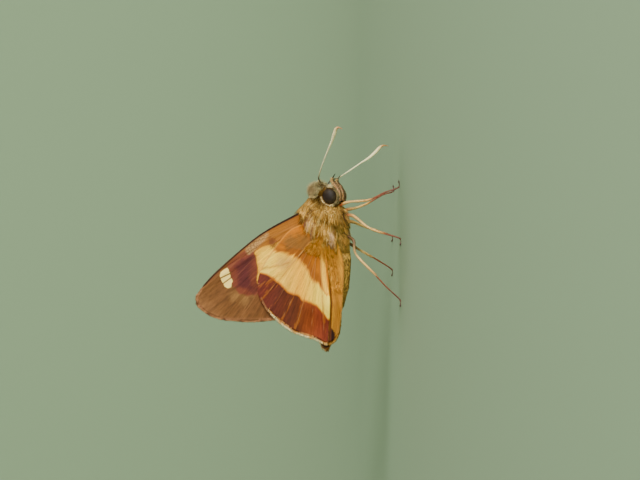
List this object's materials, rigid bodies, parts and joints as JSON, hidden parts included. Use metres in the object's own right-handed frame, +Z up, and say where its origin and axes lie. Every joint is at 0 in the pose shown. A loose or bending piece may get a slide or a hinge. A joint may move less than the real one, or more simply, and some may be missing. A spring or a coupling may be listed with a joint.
{
  "type": "yellow-banded awl butterfly",
  "caption": "Skipper butterfly standing at rest, with its wings closed over its back and its hooked feelers spread forward.",
  "frame": {"origin": "on the floor, at the middle of the bottom of the bounding box", "axes": "+X is the way the body faces, +Y its left side, +Z up from the floor to the back"},
  "size_m": [0.0346, 0.0132, 0.0312],
  "materials": {
    "head_scales": "matt, short scales",
    "eye_lens": "glossy dark lens",
    "antenna_shell": "satin, pale",
    "ochre_coat": "long golden hair",
    "abdomen_coat": "short ochre and brown scales",
    "forewing_scales": "brown scales with a pale spot",
    "hindwing_scales": "ochre and maroon scales with a pale yellow band",
    "leg_scales": "pale tan scales, darker feet"
  },
  "bodies": {
    "root": {"head": "head_scales", "eye_right": "eye_lens", "eye_left": "eye_lens", "palp_right": "head_scales", "palp_left": "head_scales", "antenna_right": "antenna_shell", "antenna_left": "antenna_shell", "thorax": "ochre_coat", "abdomen": "abdomen_coat", "forewing_right": "forewing_scales", "forewing_left": "forewing_scales", "hindwing_right": "hindwing_scales", "hindwing_left": "hindwing_scales", "leg_fore_right": "leg_scales", "leg_fore_left": "leg_scales", "leg_mid_right": "leg_scales", "leg_mid_left": "leg_scales", "leg_hind_right": "leg_scales", "leg_hind_left": "leg_scales"}
  },
  "joints": []
}
